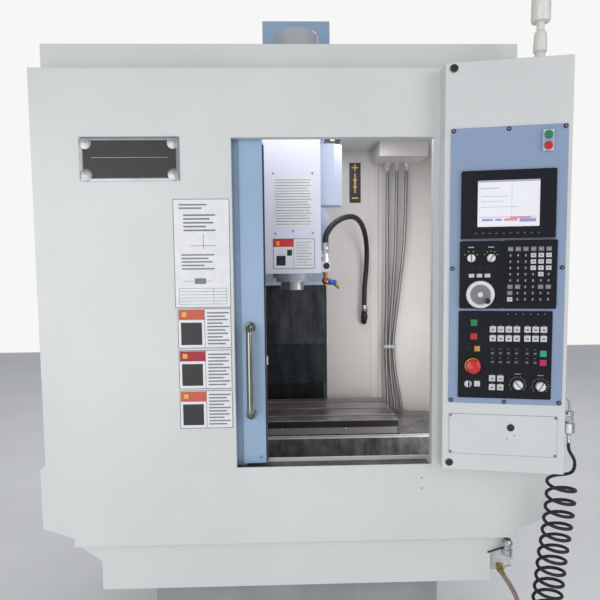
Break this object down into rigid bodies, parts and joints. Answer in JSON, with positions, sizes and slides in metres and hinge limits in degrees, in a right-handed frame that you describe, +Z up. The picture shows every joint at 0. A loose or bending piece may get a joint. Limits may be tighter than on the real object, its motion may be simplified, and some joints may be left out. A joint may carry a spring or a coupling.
{
  "type": "cnc machining center",
  "caption": "Vertical machining center in a sheet metal enclosure with a sliding door, way covers, tool carousel and a turned control box",
  "frame": {"origin": "On the floor, in the middle of the four anchor bolts of the base", "axes": "+X to the operator's right, +Y from the operator's side to the rear, +Z up"},
  "size_m": [1.6199, 2.2474, 2.6005],
  "materials": {
    "enamel_white": "satin enamel",
    "enamel_grey": "satin enamel",
    "enamel_blue": "satin enamel",
    "enamel_head": "satin enamel",
    "enamel_head_blue": "satin enamel",
    "enamel_wall": "satin enamel",
    "enamel_plate": "satin enamel",
    "cast_base": "painted casting",
    "cast_column": "painted casting",
    "cast_table": "ground, with a film of coolant",
    "guard_dark": "dull dark sheet",
    "guard_grey": "dull grey sheet",
    "bright_steel": "ground",
    "silver_housing": "cast, silver paint",
    "lamp_plastic": "glossy",
    "panel_black": "matt with fine texture",
    "knob_grey": "matt",
    "wheel_white": "satin",
    "button_red": "satin",
    "button_green": "satin",
    "clear_pane": "clear",
    "hose_black": "matt",
    "hose_drain": "aged clear vinyl",
    "gun_blue": "matt",
    "conduit_silver": "ribbed metal hose"
  },
  "bodies": {
    "frame": {"machine_base": "cast_base", "leveling_feet": "bright_steel", "column": "cast_column", "y_motor": "panel_black", "front_panel": "enamel_white", "side_panels": "enamel_white", "roof_cover": "enamel_white", "rear_wall": "enamel_wall", "chip_pan": "guard_grey", "drip_skirt": "enamel_white", "z_cover_lower": "guard_dark", "column_top_cover": "enamel_blue", "lamp_box": "enamel_wall", "conduits": "conduit_silver", "coolant_tank": "guard_grey", "electrical_cabinet": "enamel_white", "control_box": "enamel_grey", "control_plate": "enamel_plate", "display_unit": "panel_black", "keyboard": "panel_black", "handwheel_unit": "panel_black", "operator_panel": "panel_black", "signal_lamp": "lamp_plastic", "hose_fittings": "bright_steel", "air_hose": "hose_black", "air_gun": "gun_blue", "drain_hose": "hose_drain"},
    "door": {"door_panel": "enamel_blue", "door_window": "clear_pane", "door_handle": "bright_steel"},
    "saddle": {"saddle": "cast_base", "saddle_covers": "guard_grey"},
    "table": {"table": "cast_table", "table_covers": "guard_grey"},
    "head": {"head_casting": "enamel_head_blue", "head_cover": "enamel_head", "head_side_box": "enamel_head_blue", "spindle_housing": "silver_housing", "spindle_motor": "silver_housing", "coolant_block": "bright_steel", "z_cover_upper": "guard_dark", "coolant_hose": "hose_black"},
    "spindle": {"spindle": "bright_steel"},
    "x_screw": {"x_screw": "bright_steel"},
    "y_screw": {"y_screw": "bright_steel"},
    "z_screw": {"z_screw": "bright_steel"},
    "x_cover_mid": {"x_cover_mid": "guard_grey"},
    "y_cover_mid": {"y_cover_mid": "guard_grey"},
    "z_cover_mid": {"z_cover_mid": "guard_dark"},
    "magazine": {"magazine_carriage": "guard_grey"},
    "magazine_disc": {"magazine_disc": "silver_housing"},
    "e_stop": {"e_stop": "button_red"},
    "start_button": {"start_button": "button_green"},
    "stop_button": {"stop_button": "button_red"},
    "handwheel": {"handwheel": "wheel_white"},
    "feed_knob": {"feed_knob": "knob_grey"},
    "spindle_knob": {"spindle_knob": "knob_grey"},
    "axis_knob": {"axis_knob": "knob_grey"},
    "step_knob": {"step_knob": "knob_grey"},
    "cabinet_door": {"cabinet_door": "enamel_white"}
  },
  "joints": [
    {"name": "saddle_y", "type": "slide", "parent": "frame", "child": "saddle", "axis": [0, 1, 0], "range_m": [-0.3, 0]},
    {"name": "y_cover_follow", "type": "slide", "parent": "frame", "child": "y_cover_mid", "axis": [0, 1, 0], "range_m": [-0.151, 0.001]},
    {"name": "y_screw_turn", "type": "hinge", "parent": "frame", "child": "y_screw", "pos_m": [0, -0.25, 0.6], "axis": [0, 1, 0], "continuous": true},
    {"name": "table_x", "type": "slide", "parent": "saddle", "child": "table", "axis": [1, 0, 0], "range_m": [-0.339, 0.161]},
    {"name": "x_cover_follow", "type": "slide", "parent": "saddle", "child": "x_cover_mid", "axis": [1, 0, 0], "range_m": [-0.1527, 0.0726]},
    {"name": "x_screw_turn", "type": "hinge", "parent": "saddle", "child": "x_screw", "pos_m": [0, -0.2, 0.745], "axis": [1, 0, 0], "continuous": true},
    {"name": "head_z", "type": "slide", "parent": "frame", "child": "head", "axis": [0, 0, 1], "range_m": [-0.3, 0.08], "deforming": ["coolant_hose"]},
    {"name": "z_cover_follow", "type": "slide", "parent": "frame", "child": "z_cover_mid", "axis": [0, 0, 1], "range_m": [-0.151, 0.041]},
    {"name": "z_screw_turn", "type": "hinge", "parent": "frame", "child": "z_screw", "pos_m": [0, 0.11, 1.5], "axis": [0, 0, 1], "continuous": true},
    {"name": "spindle_turn", "type": "hinge", "parent": "head", "child": "spindle", "pos_m": [0, -0.35, 1.5], "axis": [0, 0, 1], "continuous": true},
    {"name": "magazine_in", "type": "slide", "parent": "frame", "child": "magazine", "axis": [1, 0, 0], "range_m": [0, 0.28]},
    {"name": "magazine_index", "type": "hinge", "parent": "magazine", "child": "magazine_disc", "pos_m": [-0.48, -0.35, 1.36], "axis": [0, 0, 1], "continuous": true},
    {"name": "door_slide", "type": "slide", "parent": "frame", "child": "door", "axis": [1, 0, 0], "range_m": [0, 0.512]},
    {"name": "cabinet_door_swing", "type": "hinge", "parent": "frame", "child": "cabinet_door", "pos_m": [0.38, 0.9523, 1.305], "axis": [0, 0, -1], "range_deg": [0, 120]},
    {"name": "e_stop_push", "type": "slide", "parent": "frame", "child": "e_stop", "axis": [0.213, 0.977, 0], "range_m": [0, 0.004], "stiffness_N_per_m": 1500},
    {"name": "start_push", "type": "slide", "parent": "frame", "child": "start_button", "axis": [0.213, 0.977, 0], "range_m": [0, 0.002], "stiffness_N_per_m": 600},
    {"name": "stop_push", "type": "slide", "parent": "frame", "child": "stop_button", "axis": [0.213, 0.977, 0], "range_m": [0, 0.002], "stiffness_N_per_m": 600},
    {"name": "handwheel_turn", "type": "hinge", "parent": "frame", "child": "handwheel", "pos_m": [0.52742, -1.00606, 1.397], "axis": [-0.213, -0.977, 0], "continuous": true},
    {"name": "feed_knob_turn", "type": "hinge", "parent": "frame", "child": "feed_knob", "pos_m": [0.6352, -1.02342, 1.136], "axis": [-0.213, -0.977, 0], "range_deg": [-150, 110]},
    {"name": "spindle_knob_turn", "type": "hinge", "parent": "frame", "child": "spindle_knob", "pos_m": [0.69577, -1.03662, 1.133], "axis": [-0.213, -0.977, 0], "range_deg": [-80, 80]},
    {"name": "axis_knob_turn", "type": "hinge", "parent": "frame", "child": "axis_knob", "pos_m": [0.50244, -0.99856, 1.501], "axis": [-0.213, -0.977, 0], "range_deg": [-60, 60]},
    {"name": "step_knob_turn", "type": "hinge", "parent": "frame", "child": "step_knob", "pos_m": [0.55618, -1.01028, 1.501], "axis": [-0.213, -0.977, 0], "range_deg": [-40, 80]}
  ],
  "couplings": [
    {"joint": "y_cover_follow", "follows": "saddle_y", "ratio": 0.5},
    {"joint": "y_screw_turn", "follows": "saddle_y", "rad_per_m": 314.16},
    {"joint": "x_cover_follow", "follows": "table_x", "ratio": 0.45},
    {"joint": "x_screw_turn", "follows": "table_x", "rad_per_m": 314.16},
    {"joint": "z_cover_follow", "follows": "head_z", "ratio": 0.5},
    {"joint": "z_screw_turn", "follows": "head_z", "rad_per_m": 314.16}
  ]
}
